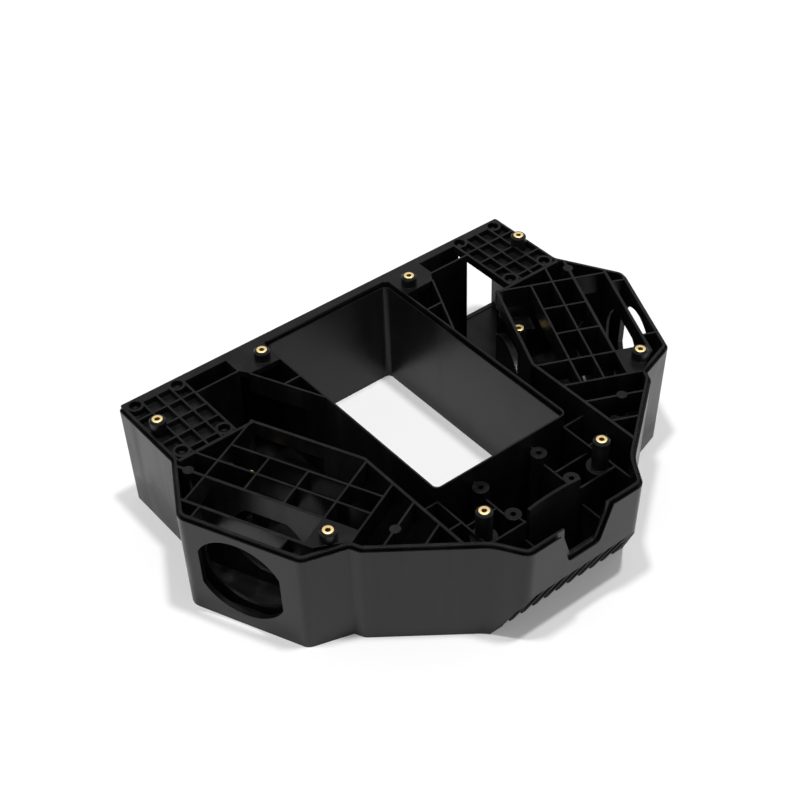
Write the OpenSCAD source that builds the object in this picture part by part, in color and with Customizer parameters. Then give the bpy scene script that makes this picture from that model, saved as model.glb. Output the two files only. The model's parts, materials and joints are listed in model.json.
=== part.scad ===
// Moulded instrument housing: a shallow black shell with a through window, two side pods with
// double-flat ports, a ribbed open top, rear corner grids and brass screw inserts.
// The part is a mirror image about x = 0. Plan positions are given as a half width and a distance
// in front of the straight back edge, and depths are measured down from the rim.

/* [Shell] */
// Height from the base to the rim
rim_h = 50.7; // [48:0.1:54]
// Thickness of the base plate
base_t = 2.5; // [2:0.1:3.5]
// Width of the tongue that runs round the rim
tongue_w = 1; // [0.8:0.1:2.2]
// How far the outer skin stands outside the tongue
skin_out = 1.2; // [1:0.05:1.5]
// Thickness of the thin outer edge beside the rim groove
skin_edge = 0.55; // [0.4:0.05:0.7]
// How far the outer edge lies below the rim
skin_drop = 1.5; // [0.5:0.1:2]
// Depth of the rim groove below the rim
groove_depth = 2.6; // [2:0.1:3.5]
// Width of the flat strip along the back edge
back_strip = 4.1; // [3.6:0.1:5]
// Size of the base outline as a share of the rim outline
draft_share = 0.987; // [0.98:0.001:1]

/* [Outline] */
// Half width at the back edge
rear_half = 100; // [98:0.5:102]
// Distance of the waist corner from the back edge
waist_d = 39.8; // [38.5:0.1:41]
// Half width at the widest corner of the pod
pod_half = 115.05; // [113.5:0.05:116.5]
// Distance of the widest corner from the back edge
pod_d = 67.2; // [66:0.1:68.5]
// Half width at the front corner of the pod
cheek_half = 93.65; // [92.5:0.05:94.8]
// Distance of the pod's front corner from the back edge
cheek_d = 114.3; // [113:0.1:115.5]
// Half width where the pod meets the jaw
shoulder_half = 75.6; // [75:0.1:76.4]
// Distance of that shoulder from the back edge
shoulder_d = 119.9; // [119:0.1:120.8]
// Half width at the start of the jaw
jaw_half = 73.5; // [72.8:0.1:74.2]
// Distance of the jaw's start from the back edge
jaw_d = 124.3; // [123.5:0.1:125]
// Half width at the end of the jaw
chin_half = 35.8; // [35:0.1:37]
// Distance of the jaw's end from the back edge
chin_d = 153; // [152:0.1:154]
// Half width of the straight nose
nose_half = 28.3; // [27.4:0.1:29.2]
// Distance of the nose from the back edge
nose_d = 165; // [164:0.1:166]

/* [Window] */
// Half width of the window opening at the rim
win_half = 31.8; // [30.5:0.1:32.4]
// Distance of the opening's back side from the back edge
win_back = 5.3; // [5.2:0.1:6]
// Distance of the opening's front side from the back edge
win_front = 118.2; // [117:0.1:119]
// Thickness of the window walls
win_wall = 2; // [1.9:0.05:3]
// Thickness of the front window wall
win_front_wall = 0.7; // [0.6:0.1:2]
// Distance of the window walls' thin lip from the opening
rebate_w = 1.3; // [1:0.1:1.5]
// Depth of the groove inside that lip
rebate_depth = 4; // [2.5:0.1:5]
// Width of the low inner edge beside the opening
rebate_edge = 0.45; // [0.35:0.05:0.6]
// Depth of that inner edge below the rim
rebate_edge_drop = 2; // [1:0.1:2.4]
// Size of the window at the base as a share of its size at the rim
win_draft_share = 0.962; // [0.95:0.002:0.99]
// Corner radius of the window
win_corner_r = 2.4; // [1.5:0.1:5]

/* [Ribs] */
// Thickness of a plain rib
rib_t = 0.85; // [0.7:0.05:1.6]
// Thickness of the heavier ribs
wall_rib_t = 1.25; // [1:0.05:2.2]
// Depth of the open lattice ribs
lattice_depth = 10; // [7:0.5:12]
// Depth of the flush platforms
platform_t = 3; // [2:0.1:4]

/* [Rear grid] */
// Half width of the grid's inner edge
grid_in = 72.4; // [71.5:0.1:73.5]
// Distance of the grid's front wall from the back edge
grid_front = 42.4; // [42:0.1:43]
// Depth of the grid slab
grid_slab = 3.8; // [3.6:0.1:5]
// Depth of the grid cells
grid_cell_depth = 2.8; // [2:0.1:3]
// Half widths of the grid's ribs that run front to back
grid_cols = [78.7, 85.3, 92.2];
// Distances of the grid's cross ribs from the back edge
grid_rows = [12.2, 21.2, 29.9, 38.5];
// Radius of the four ring bosses in a grid
grid_ring_r = 3.65; // [3.4:0.05:4]
// Radius of the holes in those bosses
grid_hole_r = 2.55; // [2.3:0.05:2.8]
// Radius of the pin left in the middle of each hole
grid_pin_r = 0.8; // [0.6:0.05:1.2]

/* [Rear openings] */
// Half width of a rear opening's inner side
vent_in = 76; // [75:0.5:81]
// Half width of a rear opening's outer side
vent_out = 98.4; // [95:0.1:98.6]
// Height of a rear opening's sill above the base
vent_sill = 2.8; // [2.6:0.1:8]
// Depth of a rear opening's top below the rim
vent_top_depth = 7; // [6:0.5:14]

/* [Pod] */
// Distances of the pod's ribs from the outer tongue line, outermost first
pod_ribs = [7.1, 21.7, 31.35, 41.2, 56.5];
// Radius of the port
port_r = 19.8; // [18:0.1:20.5]
// Half width between the port's two flats
port_flat = 17.8; // [16:0.1:18.5]
// Distance of the port's axis from the pod's widest corner, along the pod face
port_s = 24.2; // [23:0.1:25.5]
// Depth of the port's axis below the rim
port_depth = 24.9; // [24:0.1:26]
// Radius of the hole in the first inner wall
inner_hole_r = 19.5; // [18:0.1:20]
// Depth of the flat top of that hole
inner_hole_top = 8.3; // [7:0.1:9.5]
// Radius of the hole in the second inner wall
deep_hole_r = 17; // [15:0.1:18]
// Depth of the flat top of that hole
deep_hole_top = 10.4; // [9:0.1:12]
// Radius of the flush ejector pads
pad_r = 2.2; // [1.8:0.1:2.6]

/* [Inserts] */
// Outer radius of a brass insert
insert_r = 2.25; // [2.1:0.05:2.5]
// Radius of an insert's threaded bore
insert_bore_r = 1.05; // [1:0.05:1.3]
// Length of an insert
insert_len = 6; // [5:0.1:7]
// Radial gap between an insert and its boss
insert_gap = 0; // [0:0.01:0.05]
// How far an insert stands above its boss
insert_proud = 0.15; // [0.05:0.05:0.4]
// Outer radius of an insert boss
boss_r = 3.4; // [3.1:0.05:3.8]
// Height of the insert bosses above the rim
boss_rise = 4.65; // [3.5:0.05:6]
// Size of the bevel round the top of those bosses
boss_bevel = 0.7; // [0.3:0.05:1]
// Depth of a boss's root below the rim
boss_root = 10; // [8:0.5:12]
// Half widths of the insert bosses, back to front
boss_half = [39, 95.1, 79.8, 29.8];
// Distances of the insert bosses from the back edge, in the same order
boss_d = [12.7, 21.2, 112.9, 142];

/* [Front chamber] */
// Outer radius of the four ring bosses
ring_r = 3.35; // [3:0.05:3.8]
// Radius of their screw holes
ring_hole_r = 1.15; // [1:0.05:1.3]
// Depth of the ring bosses' tops below the rim
ring_depth = 7.1; // [6:0.1:9]
// Half width of the ring bosses
ring_half = 15; // [13.5:0.1:16]
// Distance of the back pair from the back edge
ring_back_d = 123; // [121.5:0.1:124]
// Distance of the front pair from the back edge
ring_front_d = 141.7; // [140.5:0.1:142.5]
// Half width of the heavy spine ribs in front of the pods
spine_half = 43.7; // [42.9:0.1:44.4]
// Half width of the stop ribs in front of the window
stop_half = 32.7; // [32.4:0.1:33.4]
// Distance of their back ends from the back edge
stop_back_d = 118.4; // [118:0.1:119]
// Radius of the shoulder round a front post
collar_r = 5.4; // [4.8:0.1:6]
// Depth of that shoulder below the rim
collar_depth = 9.3; // [8.5:0.1:12]

/* [Notch] */
// Half width of the notch at the rim
notch_top = 10.8; // [10:0.1:12]
// Half width of the notch at its bottom
notch_bottom = 6; // [5:0.1:7]
// Depth of the notch
notch_depth = 17.4; // [16:0.1:18]
// Thickness of the inner lip round the notch
notch_lip = 0.8; // [0.6:0.05:1]
// How much wider than the inner lip the notch is in the outer skin
skin_notch = 1.9; // [1.4:0.1:2.4]
// How far the groove between lip and skin reaches beyond the notch
notch_groove = 4.4; // [3:0.1:5]

/* [Chin] */
// Height of the nose wall's lower edge above the base
chin_edge_h = 24; // [22:0.1:25]
// Distance of the chin's foot from the back edge
chin_foot_d = 152.9; // [151:0.1:154]
// Number of fins under the chin
fin_count = 9; // [7:2:9]
// Spacing of the fins
fin_pitch = 6.11; // [5.8:0.01:6.4]
// Thickness of a fin
fin_t = 1.9; // [1.4:0.1:2.4]
// Depth of the grooves between the fins
fin_depth = 5; // [3.5:0.1:6]

/* [Hidden] */
$fn = 48;

// Distance from the back edge to the middle of the part's depth, which is the frame's y = 0
mid_d = (nose_d + skin_out) / 2;

plastic = [0.03, 0.03, 0.032];
brass = [0.85, 0.65, 0.25];

// Corners of the tongue's outer line on the right side, from the back edge to the nose
right_line = [
    [rear_half, 0], [rear_half, -waist_d], [pod_half, -pod_d], [cheek_half, -cheek_d],
    [shoulder_half, -shoulder_d], [jaw_half, -jaw_d], [chin_half, -chin_d], [nose_half, -nose_d]
];
// Rounding of each of those corners
right_radii = [0.8, 5, 4.5, 3.5, 2.5, 4, 20, 4];
full_line = concat(right_line, [for (i = [len(right_line) - 1:-1:0]) [-right_line[i][0], right_line[i][1]]]);
full_radii = concat(right_radii, [for (i = [len(right_radii) - 1:-1:0]) right_radii[i]]);

function unit(v) = v / norm(v);
function outward(a, b) = let (u = unit(b - a)) [-u[1], u[0]];
function turned(v, a) = [v[0] * cos(a) - v[1] * sin(a), v[0] * sin(a) + v[1] * cos(a)];
function cross_z(a, b) = a[0] * b[1] - a[1] * b[0];

// Corner b of a line a, b, c after both sides have moved outward by d1 and d2
function moved_corner(a, b, c, d1, d2) =
    let (n1 = outward(a, b), n2 = outward(b, c), k = cross_z(n1, n2))
    b + [d1 * n2[1] - d2 * n1[1], d2 * n1[0] - d1 * n2[0]] / k;

// The full outline moved outward by d, with its back edge at the distance back from y = 0
function moved_line(d, back) =
    let (n = len(full_line))
    [for (i = [0:n - 1])
        moved_corner(full_line[(i + n - 1) % n], full_line[i], full_line[(i + 1) % n],
            i == 0 ? -back : d, i == n - 1 ? -back : d)];

// Points of an arc that rounds corner b of the line a, b, c
function round_corner(a, b, c, r, steps = 5) =
    let (
        u1 = unit(b - a),
        u2 = unit(c - b),
        turn = asin(cross_z(u1, u2)),
        reach = r * tan(abs(turn) / 2),
        start = b - u1 * reach,
        side = sign(turn),
        centre = start + side * r * [-u1[1], u1[0]]
    )
    [for (i = [0:steps]) centre + turned(start - centre, turn * i / steps)];

// Rounded outline moved outward by d, so that its arcs stay concentric
function outline(d = 0, back = 0) =
    let (p = moved_line(d, back), n = len(p))
    [for (i = [0:n - 1])
        let (
            a = p[(i + n - 1) % n],
            b = p[i],
            c = p[(i + 1) % n],
            bends_out = cross_z(b - a, c - b) < 0,
            r = max(full_radii[i] + (bends_out ? d : -d), 0.3)
        )
        each round_corner(a, b, c, r)];

module both_sides() {
    children();
    mirror([1, 0, 0]) children();
}

// Straight upright rib from a to b whose top is at height top
module rib(a, b, top, depth, thick = rib_t) {
    side = outward(a, b) * thick / 2;
    translate([0, 0, top - depth])
        linear_extrude(height = depth)
            polygon([a - side, b - side, b + side, a + side]);
}

module post(x, d, r, bottom, top) {
    translate([x, -d, bottom]) cylinder(r = r, h = top - bottom);
}

// Frame of the right pod: s runs along its face from the widest corner, w runs inward
pod_start = [pod_half, -pod_d];
pod_run = unit([cheek_half, -cheek_d] - pod_start);
pod_in = [pod_run[1], -pod_run[0]];
function pod_point(s, w) = pod_start + pod_run * s + pod_in * w;
pod_angle = atan2(pod_run[1], pod_run[0]);

// Places the pod's own frame: x along the face, y inward, z up from the base
module on_pod() {
    translate([pod_start[0], pod_start[1], 0])
        rotate([0, 0, pod_angle])
            mirror([0, 1, 0]) children();
}

// Points where the pod's long ribs end on the walls around them
face_len = norm([cheek_half, -cheek_d] - pod_start);
// Stations of the cross ribs along the pod face
cross_a = -2.5;
cross_b = 14.8;
cross_c = 32.1;
cross_d = 49.6;
cross_e = 64.4;
cross_f = 76;
cross_g = 89.5;
// Stations of the two short ribs between the pod's outer wall and its first inner wall
gap_rib_s = [4.5, 42.5];

// Distance w at which station s meets the straight line x = half
function spine_w(s, half) = (pod_start[0] + pod_run[0] * s - half) / -pod_in[0];
// Station s at which the rib at distance w meets the grid's front wall
function grid_s(w) = (-grid_front - pod_start[1] - pod_in[1] * w) / pod_run[1];
// Station s just inside the wall between waist and pod, for the rib at distance w
waist_v = [rear_half, -waist_d] - pod_start;
function cheek_s(w) = w * (waist_v * pod_run) / (waist_v * pod_in) + 1;
// Station s at which the rib at distance w meets the line x = half
function spine_s(w, half) = (half - pod_start[0] - pod_in[0] * w) / pod_run[0];

// Outward direction of the jaw, and how far inside its tongue line the ribs end
jaw_start = [jaw_half, -jaw_d];
jaw_out = outward(jaw_start, [chin_half, -chin_d]);
jaw_inset = 0.7 * tongue_w;
// Distance w at which station s ends inside the jaw wall
function jaw_w(s) = (jaw_inset + (pod_point(s, 0) - jaw_start) * jaw_out) / -(pod_in * jaw_out);
// Plan position y at which the line x = half ends inside the jaw wall
function jaw_y(half) = -jaw_d - (jaw_inset + (half - jaw_half) * jaw_out[0]) / jaw_out[1];

// Distance of the cross ribs beside the front chamber from the back edge
cross_rib_d = (ring_back_d + ring_front_d) / 2 + 0.3;
// Distance of the cross wall behind the nose from the back edge
chamber_d = ring_front_d + 6;

spine_top = spine_s(pod_ribs[4], spine_half);
lattice_in = pod_point(cross_a, pod_ribs[4]);

// Arched low wall under the pod's inner line
low_wall_depth = 18;
low_wall_r = 28.4;
low_wall_s = 14.5;
// Screw bracket in the pod's first cell
bracket_half = 70.3;
bracket_d = 50;
bracket_depth = 18;

module shell_solid() {
    linear_extrude(height = rim_h - skin_drop, scale = 1 / draft_share)
        scale([draft_share, draft_share]) polygon(outline(skin_out));
    translate([0, 0, rim_h - groove_depth - 2])
        linear_extrude(height = groove_depth + 2) polygon(outline(0));
}

module rim_groove() {
    translate([0, 0, rim_h - groove_depth])
        linear_extrude(height = groove_depth + 1)
            difference() {
                polygon(outline(skin_out - skin_edge));
                polygon(outline(0));
            }
}

module cavity() {
    translate([0, 0, base_t])
        linear_extrude(height = rim_h - base_t + 1, scale = 1 / draft_share)
            scale([draft_share, draft_share]) polygon(outline(-tongue_w, back_strip));
}

function rect_points(half, back, front) =
    [[half, -back], [half, -front], [-half, -front], [-half, -back]];

function rounded_rect(half, back, front, r) =
    let (p = rect_points(half, back, front))
    [for (i = [0:3]) each round_quarter(p[(i + 3) % 4], p[i], p[(i + 1) % 4], r)];

function round_quarter(a, b, c, r, steps = 5) =
    let (u1 = unit(b - a), u2 = unit(c - b), start = b - u1 * r, centre = start + r * u2)
    [for (i = [0:steps]) centre + turned(start - centre, -90 * i / steps)];

// Inner line of the window's thin lip
function lip_line() = rounded_rect(win_half + rebate_w, back_strip, win_front, win_corner_r);

// Walls round the window, up to the top of the lip
module window_walls() {
    linear_extrude(height = rim_h)
        polygon(rounded_rect(win_half + win_wall, 1.5, win_front + win_front_wall,
            win_corner_r + win_front_wall));
}

module window_cut() {
    middle = (win_back + win_front) / 2;
    half_len = (win_front - win_back) / 2;
    translate([0, -middle, -1])
        linear_extrude(height = rim_h + 2, scale = 1 / win_draft_share)
            scale([win_draft_share, win_draft_share])
                polygon(rounded_rect(win_half, -half_len, half_len, win_corner_r));
    // groove between the thin lip and the low inner edge
    translate([0, 0, rim_h - rebate_depth])
        linear_extrude(height = rebate_depth + 1)
            difference() {
                polygon(lip_line());
                polygon(rounded_rect(win_half + rebate_edge, win_back - rebate_edge,
                    win_front + 2, win_corner_r));
            }
    translate([0, 0, rim_h - rebate_edge_drop])
        linear_extrude(height = rebate_edge_drop + 1) polygon(lip_line());
}

// Shallow ribbed slab in a rear corner
module grid_slab_solid() {
    outer = rear_half - tongue_w / 2;
    translate([grid_in - wall_rib_t / 2, -grid_front, rim_h - grid_slab])
        cube([outer - grid_in + wall_rib_t / 2, grid_front - 1, grid_slab]);
}

module grid_cells() {
    floor_z = rim_h - grid_cell_depth;
    cols = concat([grid_in], grid_cols, [rear_half - tongue_w + rib_t / 2]);
    rows = concat([back_strip - rib_t / 2], grid_rows, [grid_front - rib_t / 2]);
    difference() {
        for (i = [0:len(cols) - 2])
            for (j = [0:len(rows) - 2])
                translate([cols[i] + rib_t / 2, -rows[j + 1] + rib_t / 2, floor_z])
                    cube([cols[i + 1] - cols[i] - rib_t, rows[j + 1] - rows[j] - rib_t,
                        grid_cell_depth + 1]);
        for (p = grid_ring_places)
            post(p[0], p[1], grid_ring_r, floor_z - 1, rim_h + 2);
        post(boss_half[1], boss_d[1], boss_r, floor_z - 1, rim_h + 2);
    }
}

// Half width and distance of the four ring bosses of a grid
grid_ring_places = [
    [grid_in + 2.95, grid_ring_r + 0.1], [rear_half - 4.75, grid_ring_r + 0.1],
    [grid_in + 2.95, grid_front - 4.25], [rear_half - 4.75, grid_front - 4.25]
];

module grid_holes() {
    for (p = grid_ring_places)
        difference() {
            post(p[0], p[1], grid_hole_r, rim_h - grid_cell_depth, rim_h + 1);
            post(p[0], p[1], grid_pin_r, rim_h - grid_cell_depth - 1, rim_h - 1.2);
        }
}

// Walls, slot and platform between the window and the grid
module rear_bay() {
    slot_d = 12.9;
    slot_in = 51.2;
    // wall in front of the slot
    rib([slot_in, -slot_d], [grid_in - wall_rib_t / 2, -slot_d], rim_h, rim_h - 1, rib_t);
    rib([slot_in, -2], [slot_in, -slot_d], rim_h, lattice_depth, rib_t);
    rib([grid_in, -2], [grid_in, -slot_d], rim_h, grid_slab, wall_rib_t);
    // flush platform that carries the inner rear insert
    translate([0, 0, rim_h - platform_t])
        linear_extrude(height = platform_t)
            polygon([[win_half + 1.4, -2], [win_half + 1.4, -17.8], [48.3, -17.3],
                [slot_in, -slot_d], [slot_in, -2]]);
    // diagonal brace to the window wall and its short tie
    brace_a = [48.6, -17.1];
    brace_b = [win_half + 1.2, -50.7];
    rib(brace_a, brace_b, rim_h, lattice_depth);
    tie_d = 31.8;
    tie_x = brace_a[0] + (brace_b[0] - brace_a[0]) * (tie_d + brace_a[1]) / (-brace_b[1] + brace_a[1]);
    rib([win_half + 1.7, -tie_d], [tie_x, -tie_d], rim_h, lattice_depth);
    // wall that closes the grid off from the pod
    rib([lattice_in[0], -grid_front], [rear_half - 0.6, -grid_front], rim_h, rim_h - 1, wall_rib_t);
}

// Open lattice over the pod
module pod_lattice() {
    w = pod_ribs;
    z = rim_h;
    // long ribs, from the outermost inwards
    rib(pod_point(-4, w[0]), pod_point(face_len + 2, w[0]), z, z - 1, wall_rib_t);
    rib(pod_point(cheek_s(w[1]), w[1]), pod_point(cross_d, w[1]), z, z - 1, wall_rib_t);
    rib(pod_point(grid_s(w[2]), w[2]), pod_point(cross_e, w[2]), z, lattice_depth);
    rib(pod_point(cross_a, w[3]), pod_point(cross_e, w[3]), z, lattice_depth);
    // cross ribs
    rib(pod_point(cross_a, w[4]), pod_point(cross_a, w[0]), z, lattice_depth);
    rib(pod_point(cross_b, w[3]), pod_point(cross_b, w[1]), z, lattice_depth);
    rib(pod_point(cross_c, w[3]), pod_point(cross_c, w[1]), z, lattice_depth);
    rib(pod_point(cross_d, w[4]), pod_point(cross_d, w[0]), z, lattice_depth);
    rib(pod_point(cross_e, spine_w(cross_e, spine_half)), pod_point(cross_e, 14.5), z, lattice_depth);
    for (s = [cross_f, cross_g])
        rib(pod_point(s, spine_w(s, spine_half)), pod_point(s, jaw_w(s)), z, lattice_depth);
    for (s = gap_rib_s)
        rib(pod_point(s, w[0]), pod_point(s, 1), z, lattice_depth);
    // heavy inner line of the pod and the spine in front of it
    rib(lattice_in, pod_point(spine_top, w[4]), z, 7, wall_rib_t);
    spine();
    post(lattice_in[0], -lattice_in[1], wall_rib_t / 2 + 0.12, rim_h - 7, rim_h);
    // flush ejector pads
    pad_a = pod_point(-10, w[1]);
    pad_b = pod_point(cross_f, 28.1);
    post(pad_a[0], -pad_a[1], pad_r, rim_h - lattice_depth, rim_h);
    post(pad_b[0], -pad_b[1], pad_r, rim_h - lattice_depth, rim_h);
    // flush platform that carries the pod's insert
    translate([0, 0, rim_h - platform_t])
        linear_extrude(height = platform_t)
            polygon([pod_point(cross_d, w[0]), pod_point(cross_d, w[1]), pod_point(cross_e, w[1]),
                pod_point(cross_e, 15.5), pod_point(face_len + 2, w[0])]);
}

// Heavy full-height rib in front of the pod, whose front end lies inside the jaw wall
module spine() {
    back = pod_point(spine_top, pod_ribs[4])[1] + 0.4;
    inner = spine_half - wall_rib_t / 2;
    outer = spine_half + wall_rib_t / 2;
    translate([0, 0, base_t - 0.5])
        linear_extrude(height = rim_h - base_t + 0.5)
            polygon([[inner, back], [inner, jaw_y(inner)], [outer, jaw_y(outer)], [outer, back]]);
}

// Low wall with an arched top under the pod's inner line, and the screw bracket behind it
module pod_low_wall() {
    w = pod_ribs[4];
    on_pod() translate([cross_a, w - 3, base_t - 0.5])
        intersection() {
            cube([33.5, 3, rim_h - base_t]);
            translate([low_wall_s - cross_a, 1.5, rim_h - low_wall_depth - low_wall_r - base_t + 0.5])
                rotate([90, 0, 0]) cylinder(r = low_wall_r, h = 4, center = true, $fn = 96);
        }
    rib(pod_point(30, w), pod_point(spine_top, w), rim_h, rim_h - 1, wall_rib_t);
    // bracket
    post(bracket_half, bracket_d, boss_r, base_t - 0.5, rim_h - bracket_depth);
    translate([0, 0, rim_h - bracket_depth - 2.5])
        linear_extrude(height = 2.5)
            polygon([[bracket_half - 2.5, -bracket_d + 2], [bracket_half + 2.6, -bracket_d + 7.6],
                [bracket_half + 9, -bracket_d + 3], [bracket_half + 5.2, -bracket_d - 5]]);
}

// Round hole with a flat top, cut through a pod wall at distance w
module flat_top_hole(w, r, top_depth) {
    on_pod() translate([port_s, w, rim_h - port_depth])
        rotate([90, 0, 0])
            intersection() {
                cylinder(r = r, h = 4, center = true);
                translate([-r - 1, -r - 1, -3]) cube([2 * r + 2, r + 1 + port_depth - top_depth, 6]);
            }
}

// Round port with two upright flats through the pod's outer wall
module port_cut() {
    on_pod() translate([port_s, 1, rim_h - port_depth])
        rotate([90, 0, 0])
            intersection() {
                cylinder(r = port_r, h = 9, center = true);
                cube([2 * port_flat, 2 * port_r + 2, 10], center = true);
            }
}

module insert_bosses() {
    for (i = [0:3]) {
        root = i == 3 ? base_t - 0.5 : rim_h - boss_root;
        shoulder = rim_h + boss_rise - boss_bevel;
        post(boss_half[i], boss_d[i], boss_r, root, shoulder);
        translate([boss_half[i], -boss_d[i], shoulder])
            cylinder(r1 = boss_r, r2 = boss_r - boss_bevel, h = boss_bevel);
    }
}

module insert_holes() {
    for (i = [0:3])
        post(boss_half[i], boss_d[i], insert_r + insert_gap,
            rim_h + boss_rise + insert_proud - insert_len, rim_h + boss_rise + 1);
    post(bracket_half, bracket_d, insert_r + insert_gap,
        rim_h - bracket_depth + insert_proud - insert_len, rim_h - bracket_depth + 1);
}

// Ribs, ring bosses, posts and trough wall of the front chamber
module front_chamber() {
    top = rim_h - ring_depth;
    for (d = [ring_back_d, ring_front_d])
        post(ring_half, d, ring_r, base_t - 0.5, top);
    // small ears behind the back pair
    rib([ring_half, -ring_back_d], [ring_half, -ring_back_d + ring_r + 1.4], top, top - 1, 0.9);
    // stop ribs beside the window and behind the nose
    rib([stop_half, -stop_back_d], [stop_half, -chamber_d - 9], top, top - 1);
    rib([stop_half, -stop_back_d], [spine_half, -stop_back_d], top, top - 1);
    rib([stop_half - 0.6, -cross_rib_d], [spine_half, -cross_rib_d], top, top - 1);
    rib([ring_half, -cross_rib_d], [stop_half, -cross_rib_d], top - 3.6, top - 4.6);
    rib([ring_half, -ring_back_d - ring_r + 0.05], [ring_half, -ring_front_d], top - 4, top - 5);
    rib([ring_half, -ring_front_d], [ring_half - 0.6, -chamber_d], top, top - 1);
    rib([ring_half - 1.2, -chamber_d], [stop_half, -chamber_d], top, top - 1);
    rib([ring_half - 0.3, -chamber_d - 1], [ring_half - 0.3, -nose_d + 1], rim_h - 15.6, 20);
}

// Raised trough wall between the front ring bosses, bowed towards the back
module trough_wall() {
    bow = 0.8;
    half = ring_half - 1.9;
    r = (half * half + bow * bow) / (2 * bow);
    base = chamber_d - rib_t / 2;
    intersection() {
        translate([0, -base - r + bow, base_t - 0.5])
            difference() {
                cylinder(r = r, h = rim_h - 1.2 - base_t + 0.5, $fn = 240);
                translate([0, 0, -1]) cylinder(r = r - wall_rib_t, h = rim_h, $fn = 240);
            }
        translate([-half, -base - 1.6, 0]) cube([2 * half, 6, rim_h]);
    }
}

module collars() {
    post(boss_half[3], boss_d[3], collar_r, base_t - 0.5, rim_h - collar_depth);
}

// Solid behind the chin, whose face is cut away by chin_cut
module chin_block() {
    slope = chin_line_slope;
    inset = fin_depth + 2.5;
    c = inset / sin(chin_angle);
    translate([chin_half - 0.5, 0, 0]) rotate([90, 0, -90])
        linear_extrude(height = 2 * chin_half - 1)
            polygon([[nose_d, chin_edge_h + 4], [chin_foot_d + (chin_edge_h + 4) / slope - c, chin_edge_h + 4],
                [chin_foot_d - c, 0.2], [chin_foot_d, 0.2], [nose_d, chin_edge_h - 2]]);
}

// Lean of the nose wall that the draft gives
lean = atan((nose_d + skin_out) * (1 - draft_share) / rim_h);
chin_line_slope = chin_edge_h / (nose_d - chin_foot_d);
chin_angle = atan(chin_line_slope);

// Sloped cut below the nose
module chin_cut() {
    reach = 8;
    translate([chin_half + 8, 0, 0]) rotate([90, 0, -90])
        linear_extrude(height = 2 * chin_half + 16)
            polygon([[chin_foot_d, 0], [nose_d + reach, chin_edge_h + reach * chin_line_slope],
                [nose_d + reach, -2], [chin_foot_d, -2]]);
}

// Grooves that leave the fins standing
module fin_grooves() {
    gap = fin_pitch - fin_t;
    c = fin_depth / sin(chin_angle);
    first = -(fin_count + 1) / 2 + 0.5;
    for (i = [0:fin_count]) {
        // the two outermost grooves stop below the rounded nose corners
        top = i == 0 || i == fin_count ? 0.6 * chin_edge_h : chin_edge_h;
        translate([(first + i) * fin_pitch + gap / 2, 0, 0]) rotate([90, 0, -90])
            linear_extrude(height = gap)
                polygon([[chin_foot_d - c, -2], [chin_foot_d - c, 0],
                    [chin_foot_d - c + top / chin_line_slope, top], [nose_d + 6, top], [nose_d + 6, -2]]);
    }
}

// Outline of the notch widened by o, with its upper corners flared by f
function notch_points(o, f) =
    let (low = rim_h - notch_depth - 0.7 * o)
    [[-notch_top - o - f, rim_h + 2], [-notch_top - o + 0.5, rim_h - 5], [-notch_bottom - o, low],
        [notch_bottom + o, low], [notch_top + o - 0.5, rim_h - 5], [notch_top + o + f, rim_h + 2]];

function notch_outline(o, f) =
    let (p = notch_points(o, f))
    [for (i = [0:5])
        each (i == 2 || i == 3 ? round_corner(p[i - 1], p[i], p[i + 1], 1.6 + o * 0.4) : [p[i]])];

// One slot of the notch, leaning with the draft of the nose wall
module notch_slot(o, f, from_d, to_d) {
    translate([0, -nose_d, rim_h]) rotate([lean, 0, 0])
        translate([0, nose_d - from_d, -rim_h]) rotate([90, 0, 0])
            linear_extrude(height = to_d - from_d) polygon(notch_outline(o, f));
}

// Notch through the nose wall: the inner lip, the groove in front of it and the outer skin
module notch_cut() {
    inner = nose_d - tongue_w;
    notch_slot(0, 0, inner - 3, nose_d + 6);
    notch_slot(notch_groove, 0, inner + notch_lip, nose_d + skin_out - skin_edge);
    notch_slot(skin_notch, 1.6, inner + notch_lip, nose_d + 6);
}

module rear_vents() {
    translate([vent_in, -back_strip - 1, vent_sill])
        cube([vent_out - vent_in, back_strip + 2, rim_h - vent_top_depth - vent_sill]);
    // thinner back wall beside the opening
    translate([grid_in + wall_rib_t / 2, -back_strip - 0.1, base_t])
        cube([rear_half - 3.2 - grid_in, back_strip - 2.2, rim_h - grid_slab - 1.2 - base_t]);
}

module housing() color(plastic) translate([0, mid_d, 0]) {
    difference() {
        union() {
            difference() {
                shell_solid();
                rim_groove();
                cavity();
            }
            window_walls();
            trough_wall();
            intersection() {
                chin_block();
                linear_extrude(height = rim_h, scale = 1 / draft_share)
                    scale([draft_share, draft_share]) polygon(outline(0.3));
            }
            both_sides() {
                grid_slab_solid();
                rear_bay();
                pod_lattice();
                pod_low_wall();
                insert_bosses();
                front_chamber();
                collars();
                for (p = grid_ring_places)
                    post(p[0], p[1], grid_ring_r, rim_h - grid_slab, rim_h);
            }
        }
        window_cut();
        chin_cut();
        fin_grooves();
        notch_cut();
        both_sides() {
            grid_cells();
            grid_holes();
            rear_vents();
            port_cut();
            flat_top_hole(pod_ribs[0], inner_hole_r, inner_hole_top);
            flat_top_hole(pod_ribs[1], deep_hole_r, deep_hole_top);
            insert_holes();
            for (d = [ring_back_d, ring_front_d])
                post(ring_half, d, ring_hole_r, rim_h - ring_depth - 10, rim_h);
        }
    }
}

module threaded_insert(x, d, top) {
    translate([x, -d, top - insert_len])
        difference() {
            cylinder(r = insert_r, h = insert_len);
            translate([0, 0, -1]) cylinder(r = insert_bore_r, h = insert_len + 2);
        }
}

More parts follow.
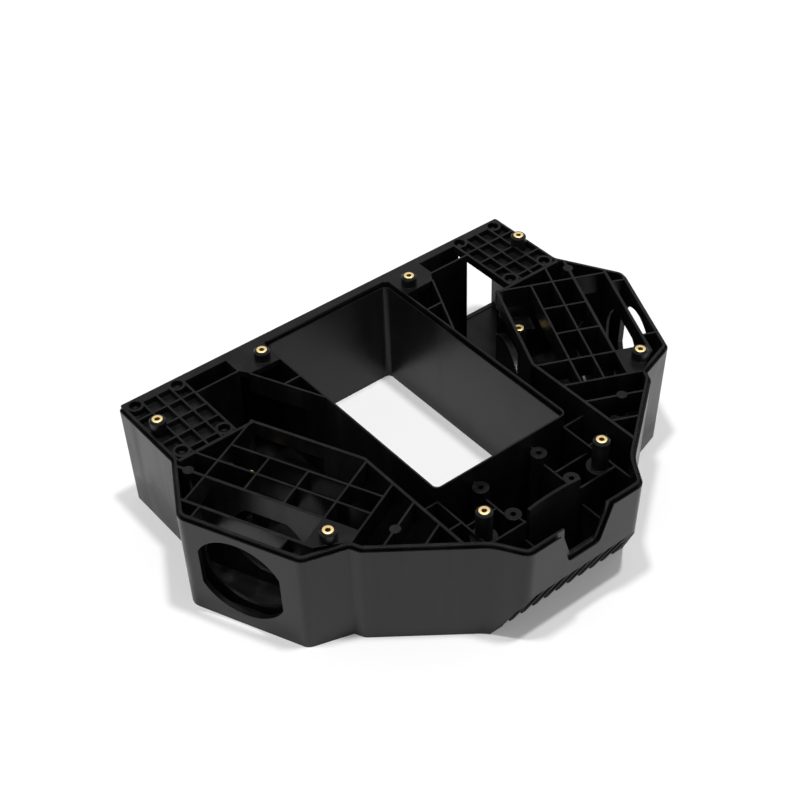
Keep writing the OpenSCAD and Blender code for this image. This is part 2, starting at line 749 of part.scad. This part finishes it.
module threaded_inserts() color(brass) translate([0, mid_d, 0]) {
    both_sides() {
        for (i = [0:3])
            threaded_insert(boss_half[i], boss_d[i], rim_h + boss_rise + insert_proud);
        threaded_insert(bracket_half, bracket_d, rim_h - bracket_depth + insert_proud);
    }
}

housing();
threaded_inserts();
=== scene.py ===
"""Looks of a moulded plastic housing with brass threaded inserts, on the part's frame."""

import json
import math

import bmesh
import bpy
from mathutils import Matrix, Vector


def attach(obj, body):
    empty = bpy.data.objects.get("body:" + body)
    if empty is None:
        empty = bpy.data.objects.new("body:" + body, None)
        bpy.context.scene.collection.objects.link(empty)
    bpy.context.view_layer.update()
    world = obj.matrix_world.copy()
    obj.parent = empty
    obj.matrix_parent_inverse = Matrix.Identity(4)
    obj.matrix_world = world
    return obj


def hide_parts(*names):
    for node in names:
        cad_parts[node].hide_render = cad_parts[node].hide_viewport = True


bl_info = {
    "name": "Moulded plastic housing",
    "version": (1, 0, 0),
    "blender": (4, 5, 0),
    "location": "View3D > Sidebar > Housing",
    "description": "Finishes the black ribbed housing, its brass inserts and a white studio",
    "category": "Object",
}

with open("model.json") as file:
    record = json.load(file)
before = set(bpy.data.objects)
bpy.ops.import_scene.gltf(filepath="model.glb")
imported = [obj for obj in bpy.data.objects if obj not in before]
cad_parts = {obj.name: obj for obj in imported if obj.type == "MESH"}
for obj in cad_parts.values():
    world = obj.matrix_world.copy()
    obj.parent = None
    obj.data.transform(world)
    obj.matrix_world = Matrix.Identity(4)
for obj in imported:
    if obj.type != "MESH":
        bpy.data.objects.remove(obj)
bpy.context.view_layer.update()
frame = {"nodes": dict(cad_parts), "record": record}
BODY = "root"
HOUSING = "housing"
INSERTS = "threaded_inserts"
MM = 0.001

# Plastic: each noise's scale per metre, and the span of the noise that shows, from none to full
BLOOM_SCALE = 38
BLOOM_SPAN = (0.48, 0.74)
MARK_SPAN = (0.5, 0.72)
MARK_STRENGTH = 0.8
# Upward part of a face's normal, from fully an underside to not one
UNDERSIDE_SPAN = (-0.35, -0.2)

# Brass: the same for its handled patches and tool marks, with the marks' depth in metres
PATCH_SCALE = 1400
PATCH_SPAN = (0.5, 0.8)
PATCH_ROUGHER = 0.1
TOOL_MARK_SCALE = 9000
TOOL_MARK_DEPTH = 0.000004

# Insert: how far its collar stands inside its teeth, in metres
COLLAR_STEP = 0.00004
# Height of the collar's turned edge, as a share of its width
EDGE_RISE = 0.6
# Radius at the roots of the teeth, as a share of their outer radius
TOOTH_ROOT = 0.955
# Radii within which a point counts as on the bore's wall, or past which on the barrel's, as shares
BORE_WALL = 1.02
BARREL_WALL = 0.995
# Rings of the bore's wall in one turn of the thread
RINGS_PER_TURN = 4
# Depth at which the thread starts, in chamfers
THREAD_START = 1.5
# Angle from the start of one insert's thread to the next one's, in radians
THREAD_TURN = 2.4

# Studio: the floor's white, and the heights on the tent where its foot ends and its roof begins
FLOOR_WHITE = 0.8
FLOOR_ROUGHNESS = 0.9
FOOT_END = 0.15
ROOF_SPAN = (0.65, 0.95)
LAMP_DISTANCE = 1.5


class PlasticLook(bpy.types.PropertyGroup):
    """Black moulded plastic with a fine spark-eroded grain"""

    colour: bpy.props.FloatVectorProperty(
        name="Colour", description="Colour of the clean plastic",
        default=(0.0035, 0.0035, 0.004), subtype="COLOR", min=0, max=1)
    haze: bpy.props.FloatVectorProperty(
        name="Haze", description="Colour where handling has left a faint bloom",
        default=(0.010, 0.010, 0.0105), subtype="COLOR", min=0, max=1)
    roughness: bpy.props.FloatProperty(
        name="Roughness", description="Roughness of the clean plastic",
        default=0.3, min=0.05, max=1)
    haze_roughness: bpy.props.FloatProperty(
        name="Haze roughness", description="Roughness of the bloom",
        default=0.44, min=0.05, max=1)
    under_roughness: bpy.props.FloatProperty(
        name="Underside roughness", description="Roughness of faces that look down, left as moulded",
        default=0.75, min=0.05, max=1)
    gloss: bpy.props.FloatProperty(
        name="Gloss", description="Strength of the reflection seen straight on, 0.5 for a plain plastic",
        default=0.3, min=0, max=1)
    mark_width: bpy.props.FloatProperty(
        name="Drag mark width", description="Spacing of the faint upright marks that ejection leaves",
        default=0.007, unit="LENGTH", min=0.001, max=0.05)
    mark_length: bpy.props.FloatProperty(
        name="Drag mark length", description="Length of those marks",
        default=0.12, unit="LENGTH", min=0.01, max=0.5)
    grain_size: bpy.props.FloatProperty(
        name="Grain size", description="Spacing of the mould's grain",
        default=0.00035, unit="LENGTH", min=0.0001, max=0.002)
    grain_depth: bpy.props.FloatProperty(
        name="Grain depth", description="Depth of the mould's grain",
        default=0.00001, unit="LENGTH", min=0, max=0.0002)
    sink_size: bpy.props.FloatProperty(
        name="Sink size", description="Spacing of the slow waves in the walls",
        default=0.03, unit="LENGTH", min=0.005, max=0.2)
    sink_depth: bpy.props.FloatProperty(
        name="Sink depth", description="Depth of the slow waves in the walls",
        default=0.00012, unit="LENGTH", min=0, max=0.001)
    edge_radius: bpy.props.FloatProperty(
        name="Edge radius", description="Radius that the mould leaves on each edge",
        default=0.00022, unit="LENGTH", min=0, max=0.001)


class InsertSizes(bpy.types.PropertyGroup):
    """Threaded brass insert, seen from its open end"""

    thread_pitch: bpy.props.FloatProperty(
        name="Thread pitch", description="Distance from one turn of the thread to the next",
        default=0.00045, unit="LENGTH", min=0.0002, max=0.001)
    bore_radius: bpy.props.FloatProperty(
        name="Bore radius", description="Radius inside the thread's crests",
        default=0.00105, unit="LENGTH", min=0.0008, max=0.0014)
    thread_depth: bpy.props.FloatProperty(
        name="Thread depth", description="How far the thread is cut behind its crests",
        default=0.0002, unit="LENGTH", min=0.0001, max=0.0004)
    outer_radius: bpy.props.FloatProperty(
        name="Outer radius", description="Radius over the outer teeth",
        default=0.00225, unit="LENGTH", min=0.002, max=0.0026)
    chamfer: bpy.props.FloatProperty(
        name="Chamfer", description="Width of the turned edges at the top",
        default=0.00018, unit="LENGTH", min=0.00005, max=0.0004)
    collar: bpy.props.FloatProperty(
        name="Collar", description="Height of the plain collar above the teeth",
        default=0.0008, unit="LENGTH", min=0.0004, max=0.002)
    length: bpy.props.FloatProperty(
        name="Length", description="Length of the insert",
        default=0.006, unit="LENGTH", min=0.004, max=0.008)
    teeth: bpy.props.IntProperty(
        name="Teeth", description="Number of outer teeth that grip the plastic",
        default=24, min=12, max=36)
    colour: bpy.props.FloatVectorProperty(
        name="Colour", description="Colour of clean turned brass",
        default=(1.0, 0.82, 0.44), subtype="COLOR", min=0, max=1)
    tarnish: bpy.props.FloatVectorProperty(
        name="Tarnish", description="Colour of handled brass",
        default=(0.95, 0.7, 0.32), subtype="COLOR", min=0, max=1)
    roughness: bpy.props.FloatProperty(
        name="Roughness", description="Roughness of clean turned brass",
        default=0.56, min=0.05, max=1)
    # Painted shade: the bore's brass is set far darker than the turned brass, to stand in for the shade
    # inside the hole
    bore_shade_colour: bpy.props.FloatVectorProperty(
        name="Bore colour", description="Colour of the shade_painted brass inside the bore",
        default=(0.3, 0.11, 0.02), subtype="COLOR", min=0, max=1)
    bore_roughness: bpy.props.FloatProperty(
        name="Bore roughness", description="Roughness of the tapped brass inside the bore",
        default=0.45, min=0.05, max=1)


class StudioSizes(bpy.types.PropertyGroup):
    """White table, light tent and camera"""

    floor_width: bpy.props.FloatProperty(
        name="Floor width", description="Width of the white floor",
        default=30, unit="LENGTH", min=2, max=60)
    floor_glow: bpy.props.FloatProperty(
        name="Floor glow", description="Part of the floor's white that shadows don't reach",
        default=0.14, min=0, max=1)
    tent_foot: bpy.props.FloatProperty(
        name="Tent foot", description="Light of the tent where it meets the floor",
        default=1, min=0, max=3)
    tent_side: bpy.props.FloatProperty(
        name="Tent sides", description="Light from the tent's sides",
        default=0.47, min=0, max=3)
    tent_roof: bpy.props.FloatProperty(
        name="Tent roof", description="Light from the tent's roof, between the lamps",
        default=0.1, min=0, max=3)
    main_light: bpy.props.FloatProperty(
        name="Main lamp", description="Light from the lamp above and to the right",
        default=1.4, min=0, max=5)
    main_fall: bpy.props.FloatVectorProperty(
        name="Main lamp's fall", description="Way that the main lamp's light falls",
        default=(-0.134, 0.13, -1), subtype="DIRECTION")
    second_light: bpy.props.FloatProperty(
        name="Second lamp", description="Light from the lamp above and to the left",
        default=1.3, min=0, max=5)
    second_fall: bpy.props.FloatVectorProperty(
        name="Second lamp's fall", description="Way that the second lamp's light falls",
        default=(0.15, -0.05, -1), subtype="DIRECTION")
    lamp_width: bpy.props.FloatProperty(
        name="Lamp width", description="Width of a lamp as the housing sees it",
        default=math.radians(5), subtype="ANGLE")
    lens: bpy.props.FloatProperty(
        name="Lens", description="Focal length on a 36 mm wide frame, in millimetres",
        default=72.85, min=20, max=200)
    camera_place: bpy.props.FloatVectorProperty(
        name="Camera place", description="Where the camera stands",
        default=(-0.30814, -0.3731, 0.47941), subtype="TRANSLATION", unit="LENGTH")
    camera_heading: bpy.props.FloatProperty(
        name="Heading", description="Turn of the view to the right of the housing's length",
        default=math.radians(37.486), subtype="ANGLE")
    camera_dip: bpy.props.FloatProperty(
        name="Dip", description="How far the view points below the horizon",
        default=math.radians(41.373), subtype="ANGLE")
    camera_roll: bpy.props.FloatProperty(
        name="Roll", description="Turn of the view about its own line",
        default=math.radians(-1.822), subtype="ANGLE")


def sizes(name):
    """One of the property groups above."""
    return getattr(bpy.context.scene, name)


def start_piece():
    """Leaves edit mode and selects nothing, so that the next operator acts on its own piece."""
    if bpy.context.object and bpy.context.object.mode != "OBJECT":
        bpy.ops.object.mode_set(mode="OBJECT")
    bpy.ops.object.select_all(action="DESELECT")


def rename(obj, name):
    """Names a piece and its mesh alike."""
    obj.name = name
    obj.data.name = name
    return obj


def select_faces(obj, test):
    """In edit mode, selects the faces that pass the test."""
    bpy.ops.mesh.select_mode(type="FACE")
    mesh = bmesh.from_edit_mesh(obj.data)
    for face in mesh.faces:
        face.select_set(test(face))
    mesh.select_flush_mode()
    bmesh.update_edit_mesh(obj.data)


def new_material(name):
    """A material with its tree emptied, its shader and its output."""
    material = bpy.data.materials.new(name)
    material.use_nodes = True
    tree = material.node_tree
    tree.nodes.clear()
    shader = add_node(tree, "ShaderNodeBsdfPrincipled", (300, 0))
    output = add_node(tree, "ShaderNodeOutputMaterial", (620, 0))
    tree.links.new(shader.outputs["BSDF"], output.inputs["Surface"])
    return material, tree, shader


def add_node(tree, kind, place, **values):
    """A node at its place; values are sockets by name, spaces as underscores, or the node's settings."""
    node = tree.nodes.new(kind)
    node.location = place
    for key, value in values.items():
        socket = node.inputs.get(key.replace("_", " "))
        if socket is not None:
            socket.default_value = value
        else:
            setattr(node, key, value)
    return node


def mix_colour(tree, place, factor, low, high):
    """Mixes two plain colours by a node's output."""
    node = add_node(tree, "ShaderNodeMix", place, data_type="RGBA")
    tree.links.new(factor, node.inputs["Factor"])
    # the mix node's colour sockets come after its number and vector sockets
    node.inputs[6].default_value = (*low, 1)
    node.inputs[7].default_value = (*high, 1)
    return node.outputs[2]


def spread(tree, place, source, low, high, to_low, to_high):
    """Maps one range of a value to another."""
    node = add_node(
        tree, "ShaderNodeMapRange", place,
        From_Min=low, From_Max=high, To_Min=to_low, To_Max=to_high)
    tree.links.new(source, node.inputs["Value"])
    return node.outputs["Result"]


def multiply(tree, place, first, second):
    """Product of two outputs, or of an output and a plain number."""
    node = add_node(tree, "ShaderNodeMath", place, operation="MULTIPLY")
    tree.links.new(first, node.inputs[0])
    if isinstance(second, (int, float)):
        node.inputs[1].default_value = second
    else:
        tree.links.new(second, node.inputs[1])
    return node.outputs[0]


def larger(tree, place, first, second):
    """The larger of two outputs."""
    node = add_node(tree, "ShaderNodeMath", place, operation="MAXIMUM")
    tree.links.new(first, node.inputs[0])
    tree.links.new(second, node.inputs[1])
    return node.outputs[0]


def noise(tree, place, source, **values):
    """Noise at a position; values are its sockets by name."""
    node = add_node(tree, "ShaderNodeTexNoise", place, **values)
    tree.links.new(source, node.inputs["Vector"])
    return node.outputs["Fac"]


def bump(tree, place, height, depth, normal=None):
    """Normal bent by a pattern of heights, on top of another normal where one is given."""
    node = add_node(tree, "ShaderNodeBump", place, Distance=depth, Strength=1)
    tree.links.new(height, node.inputs["Height"])
    if normal is not None:
        tree.links.new(normal, node.inputs["Normal"])
    return node.outputs["Normal"]


def plastic_material():
    """Black moulded plastic."""
    look = sizes("housing_plastic")
    material, tree, shader = new_material("moulded_black_plastic")
    shader.inputs["Specular IOR Level"].default_value = look.gloss
    position = add_node(tree, "ShaderNodeTexCoord", (-1300, 0)).outputs["Object"]
    haze = plastic_haze(tree, position, look)
    colour = mix_colour(tree, (-560, 300), haze, look.colour, look.haze)
    tree.links.new(colour, shader.inputs["Base Color"])
    tree.links.new(plastic_roughness(tree, haze, look), shader.inputs["Roughness"])
    tree.links.new(plastic_relief(tree, position, look), shader.inputs["Normal"])
    return material


def plastic_haze(tree, position, look):
    """1 where handling has left a bloom or ejection an upright drag mark, 0 where it is clean."""
    cloud = noise(
        tree, (-1050, 250), position, Scale=BLOOM_SCALE, Detail=6, Roughness=0.62, Distortion=0.6)
    bloom = spread(tree, (-820, 250), cloud, *BLOOM_SPAN, 0, 1)
    across, along = 1 / look.mark_width, 1 / look.mark_length
    upright = add_node(tree, "ShaderNodeMapping", (-1260, 600), Scale=(across, across, along))
    tree.links.new(position, upright.inputs["Vector"])
    streaks = noise(
        tree, (-1050, 600), upright.outputs["Vector"], Scale=1, Detail=3, Roughness=0.55)
    marks = spread(tree, (-820, 600), streaks, *MARK_SPAN, 0, MARK_STRENGTH)
    return larger(tree, (-640, 450), bloom, marks)


def plastic_roughness(tree, haze, look):
    """Smooth where it is clean, rougher under the haze, roughest on faces that look down."""
    roughness = spread(tree, (-560, 60), haze, 0, 1, look.roughness, look.haze_roughness)
    geometry = add_node(tree, "ShaderNodeNewGeometry", (-1050, 0))
    facing = add_node(tree, "ShaderNodeSeparateXYZ", (-820, 0))
    tree.links.new(geometry.outputs["Normal"], facing.inputs[0])
    under = spread(
        tree, (-560, -120), facing.outputs["Z"], *UNDERSIDE_SPAN, look.under_roughness, 0)
    return larger(tree, (-300, 0), roughness, under)


def plastic_relief(tree, position, look):
    """Normal with softened edges, slow waves and fine grain."""
    edge = add_node(tree, "ShaderNodeBevel", (-560, -520), samples=4, Radius=look.edge_radius)
    waves = noise(tree, (-820, -160), position, Scale=1 / look.sink_size, Detail=1)
    slow = bump(tree, (-300, -260), waves, look.sink_depth, edge.outputs["Normal"])
    grain = noise(tree, (-820, -360), position, Scale=1 / look.grain_size, Detail=2)
    return bump(tree, (0, -260), grain, look.grain_depth, slow)


def brass_material(name, clean, handled, roughness):
    """Turned brass with handled patches and fine tool marks."""
    material, tree, shader = new_material(name)
    shader.inputs["Metallic"].default_value = 1
    position = add_node(tree, "ShaderNodeTexCoord", (-1100, 0)).outputs["Object"]
    patches = noise(tree, (-850, 150), position, Scale=PATCH_SCALE, Detail=4)
    mask = spread(tree, (-620, 150), patches, *PATCH_SPAN, 0, 1)
    tree.links.new(mix_colour(tree, (-360, 200), mask, clean, handled), shader.inputs["Base Color"])
    tree.links.new(
        spread(tree, (-360, -20), mask, 0, 1, roughness, roughness + PATCH_ROUGHER),
        shader.inputs["Roughness"])
    marks = noise(tree, (-620, -260), position, Scale=TOOL_MARK_SCALE, Detail=2)
    tree.links.new(bump(tree, (-80, -260), marks, TOOL_MARK_DEPTH), shader.inputs["Normal"])
    return material


def dress(obj, material):
    """Gives a piece one material in place of what it had."""
    obj.data.materials.clear()
    obj.data.materials.append(material)


def insert_places():
    """Top centre of each brass insert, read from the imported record's mounts."""
    places = []
    for mount in frame["record"]["mounts"]:
        if not mount["name"].endswith("_inserts"):
            continue
        middle = Vector(mount["pos_m"])
        half = mount["dims"]["spacing_x_mm"] * MM / 2
        places += [middle + Vector((side * half, 0, 0)) for side in (-1, 1)]
    return places


def model_insert(name):
    """One insert with its top at the origin: toothed barrel, plain collar and threaded bore."""
    insert = sizes("housing_insert")
    rise = EDGE_RISE * insert.chamfer
    start_piece()
    bpy.ops.mesh.primitive_cylinder_add(
        vertices=2 * insert.teeth, radius=insert.outer_radius, depth=insert.length - insert.collar,
        end_fill_type="NGON", location=(0, 0, -(insert.length + insert.collar) / 2))
    obj = rename(bpy.context.object, name)
    bpy.ops.object.transform_apply(location=True, rotation=True, scale=True)
    bpy.ops.object.mode_set(mode="EDIT")

    # collar with its turned edge, then the ring that shows and the chamfer into the bore
    select_faces(obj, lambda face: face.normal.z > 0.9)
    bpy.ops.mesh.inset(thickness=COLLAR_STEP, depth=0)
    extrude_up(insert.collar - rise)
    bpy.ops.mesh.inset(thickness=insert.chamfer, depth=rise)
    ring = insert.outer_radius - COLLAR_STEP - 2 * insert.chamfer - insert.bore_radius
    bpy.ops.mesh.inset(thickness=ring, depth=0)
    bpy.ops.mesh.inset(thickness=insert.chamfer, depth=-insert.chamfer)

    # bore, in rings fine enough to carry the thread
    step = insert.thread_pitch / RINGS_PER_TURN
    for _ in range(int((insert.length - 2 * insert.chamfer) / step)):
        extrude_up(-step)
    bpy.ops.object.mode_set(mode="OBJECT")
    cut_thread(obj, insert)
    cut_teeth(obj, insert)
    bpy.ops.object.shade_smooth_by_angle(angle=math.radians(35))
    return obj


def copy_of(obj, name):
    """A second piece with a mesh of its own."""
    twin = obj.copy()
    twin.data = obj.data.copy()
    bpy.context.scene.collection.objects.link(twin)
    return rename(twin, name)


def extrude_up(height):
    """In edit mode, extrudes the selected face along the insert's axis."""
    bpy.ops.mesh.extrude_region_move(TRANSFORM_OT_translate={"value": (0, 0, height)})


def grow_radius(vertex, share):
    """Moves a vertex away from the insert's axis."""
    vertex.co.x *= share
    vertex.co.y *= share


def cut_thread(obj, insert):
    """Pushes the bore's wall outwards along a helix, where the thread is cut."""
    for vertex in obj.data.vertices:
        radius = math.hypot(vertex.co.x, vertex.co.y)
        on_bore = radius < insert.bore_radius * BORE_WALL
        if on_bore and vertex.co.z < -insert.chamfer * THREAD_START:
            turn = math.atan2(vertex.co.y, vertex.co.x) / (2 * math.pi)
            phase = (vertex.co.z / insert.thread_pitch - turn) % 1
            grow_radius(vertex, 1 + insert.thread_depth * (1 - abs(2 * phase - 1)) / radius)


def cut_teeth(obj, insert):
    """Draws every second line of the barrel in, below the collar."""
    for vertex in obj.data.vertices:
        on_barrel = math.hypot(vertex.co.x, vertex.co.y) > insert.outer_radius * BARREL_WALL
        step = math.atan2(vertex.co.y, vertex.co.x) / math.pi * insert.teeth
        if on_barrel and round(step) % 2:
            grow_radius(vertex, TOOTH_ROOT)


class HOUSING_OT_plastic(bpy.types.Operator):
    """Finish the moulded housing in black plastic"""

    bl_idname = "housing.plastic"
    bl_label = "Black Plastic"

    def execute(self, context):
        dress(frame["nodes"][HOUSING], plastic_material())
        return {"FINISHED"}


class HOUSING_OT_inserts(bpy.types.Operator):
    """Finish the threaded inserts in turned brass"""

    bl_idname = "housing.inserts"
    bl_label = "Brass Inserts"

    def execute(self, context):
        insert = sizes("housing_insert")
        first = model_insert("insert_1")
        dress(first, brass_material("turned_brass", insert.colour, insert.tarnish, insert.roughness))
        # The bore faces get a second brass, darkened as painted shade for the inside of the hole
        first.data.materials.append(brass_material(
            "bore_brass_painted_shade", insert.bore_shade_colour, insert.bore_shade_colour, insert.bore_roughness))
        for face in first.data.polygons:
            in_bore = face.center.xy.length < insert.bore_radius + insert.thread_depth
            face.material_index = int(in_bore and face.center.z < -insert.chamfer)
        places = insert_places()
        inserts = [first] + [copy_of(first, f"insert_{i}") for i in range(2, len(places) + 1)]
        for number, piece in enumerate(inserts):
            turned = Matrix.Rotation(number * THREAD_TURN, 4, "Z")
            piece.data.transform(Matrix.Translation(places[number]) @ turned)
            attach(piece, BODY)
            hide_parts(INSERTS)
        return {"FINISHED"}


class HOUSING_OT_studio(bpy.types.Operator):
    """Build the white floor, the light tent and the camera"""

    bl_idname = "housing.studio"
    bl_label = "Studio"

    def execute(self, context):
        studio = sizes("housing_studio")
        make_floor(studio)
        make_tent(studio)
        make_lamps(studio)
        make_camera(studio)
        context.scene.view_settings.view_transform = "Standard"
        return {"FINISHED"}


def shown_rays(tree, place):
    """1 for what the camera, a gloss or a clear piece sees, else 0."""
    across, down = place
    rays = add_node(tree, "ShaderNodeLightPath", place).outputs
    seen = larger(tree, (across + 200, down), rays["Is Camera Ray"], rays["Is Glossy Ray"])
    return larger(tree, (across + 380, down), seen, rays["Is Transmission Ray"])


def make_floor(studio):
    """White floor that keeps the housing's shadow."""
    start_piece()
    bpy.ops.mesh.primitive_plane_add(size=studio.floor_width, location=(0, 0, 0))
    floor = rename(bpy.context.object, "floor")
    material, tree, shader = new_material("white_floor")
    shader.inputs["Base Color"].default_value = (FLOOR_WHITE, FLOOR_WHITE, FLOOR_WHITE, 1)
    shader.inputs["Roughness"].default_value = FLOOR_ROUGHNESS
    shader.inputs["Specular IOR Level"].default_value = 0
    shader.inputs["Emission Color"].default_value = (1, 1, 1, 1)
    glow = multiply(tree, (0, -300), shown_rays(tree, (-600, -300)), studio.floor_glow)
    tree.links.new(glow, shader.inputs["Emission Strength"])
    dress(floor, material)


def make_tent(studio):
    """World light: a white tent, brightest at its foot and dim in its roof."""
    world = bpy.data.worlds.new("light_tent")
    bpy.context.scene.world = world
    world.use_nodes = True
    tree = world.node_tree
    tree.nodes.clear()
    way = add_node(tree, "ShaderNodeTexCoord", (-800, 0))
    parts = add_node(tree, "ShaderNodeSeparateXYZ", (-600, 0))
    tree.links.new(way.outputs["Generated"], parts.inputs[0])
    height = parts.outputs["Z"]
    walls = spread(tree, (-400, 100), height, 0, FOOT_END, studio.tent_foot, studio.tent_side)
    dimmed = studio.tent_roof / studio.tent_side
    roof = spread(tree, (-400, -200), height, *ROOF_SPAN, 1, dimmed)
    level = multiply(tree, (-200, 0), walls, roof)
    light = add_node(tree, "ShaderNodeBackground", (0, 0))
    light.inputs["Color"].default_value = (1, 1, 1, 1)
    tree.links.new(level, light.inputs["Strength"])
    output = add_node(tree, "ShaderNodeOutputWorld", (250, 0))
    tree.links.new(light.outputs[0], output.inputs["Surface"])


def make_lamps(studio):
    """Two lamps nearly overhead, one to each side."""
    lamps = (
        ("main_lamp", studio.main_light, studio.main_fall),
        ("second_lamp", studio.second_light, studio.second_fall),
    )
    for name, energy, fall in lamps:
        light = bpy.data.lights.new(name, "SUN")
        light.energy = energy
        light.angle = studio.lamp_width
        lamp = bpy.data.objects.new(name, light)
        way = Vector(fall)
        lamp.location = -LAMP_DISTANCE * way
        lamp.rotation_euler = way.to_track_quat("-Z", "Y").to_euler()
        bpy.context.scene.collection.objects.link(lamp)


def make_camera(studio):
    """Camera at the photograph's angle."""
    heading, dip, roll = studio.camera_heading, studio.camera_dip, studio.camera_roll
    ahead = Vector((
        math.sin(heading) * math.cos(dip), math.cos(heading) * math.cos(dip), -math.sin(dip)))
    right = Vector((math.cos(heading), -math.sin(heading), 0))
    up = right.cross(ahead)
    side = right * math.cos(roll) + up * math.sin(roll)
    top = up * math.cos(roll) - right * math.sin(roll)
    camera = bpy.data.objects.new("camera", bpy.data.cameras.new("camera"))
    bpy.context.scene.collection.objects.link(camera)
    turn = Matrix((side, top, -ahead)).transposed().to_4x4()
    camera.matrix_world = Matrix.Translation(Vector(studio.camera_place)) @ turn
    camera.data.sensor_width = 36
    camera.data.lens = studio.lens
    camera.data.clip_start = 0.01
    camera.data.clip_end = 50
    bpy.context.scene.camera = camera


class HOUSING_PT_panel(bpy.types.Panel):
    """Steps of the housing's looks"""

    bl_label = "Moulded Housing"
    bl_idname = "HOUSING_PT_panel"
    bl_space_type = "VIEW_3D"
    bl_region_type = "UI"
    bl_category = "Housing"

    def draw(self, context):
        """Lists the steps, then each group's sizes"""
        for step in STEPS:
            self.layout.operator(step)
        for group in GROUPS:
            held = getattr(context.scene, group)
            box = self.layout.box()
            for key in held.__annotations__:
                box.prop(held, key)


STEPS = ("housing.plastic", "housing.inserts", "housing.studio")
GROUPS = {
    "housing_plastic": PlasticLook,
    "housing_insert": InsertSizes,
    "housing_studio": StudioSizes,
}
CLASSES = (
    *GROUPS.values(), HOUSING_OT_plastic, HOUSING_OT_inserts, HOUSING_OT_studio, HOUSING_PT_panel)


def register():
    """Adds the classes, and each group of sizes to the scene."""
    for each in CLASSES:
        bpy.utils.register_class(each)
    for name, group in GROUPS.items():
        setattr(bpy.types.Scene, name, bpy.props.PointerProperty(type=group))


def unregister():
    """Takes them off again."""
    for name in GROUPS:
        delattr(bpy.types.Scene, name)
    for each in reversed(CLASSES):
        bpy.utils.unregister_class(each)


def main():
    """Builds the looks step by step."""
    register()
    bpy.ops.housing.plastic()
    bpy.ops.housing.inserts()
    bpy.ops.housing.studio()


if __name__ == "__main__":
    main()
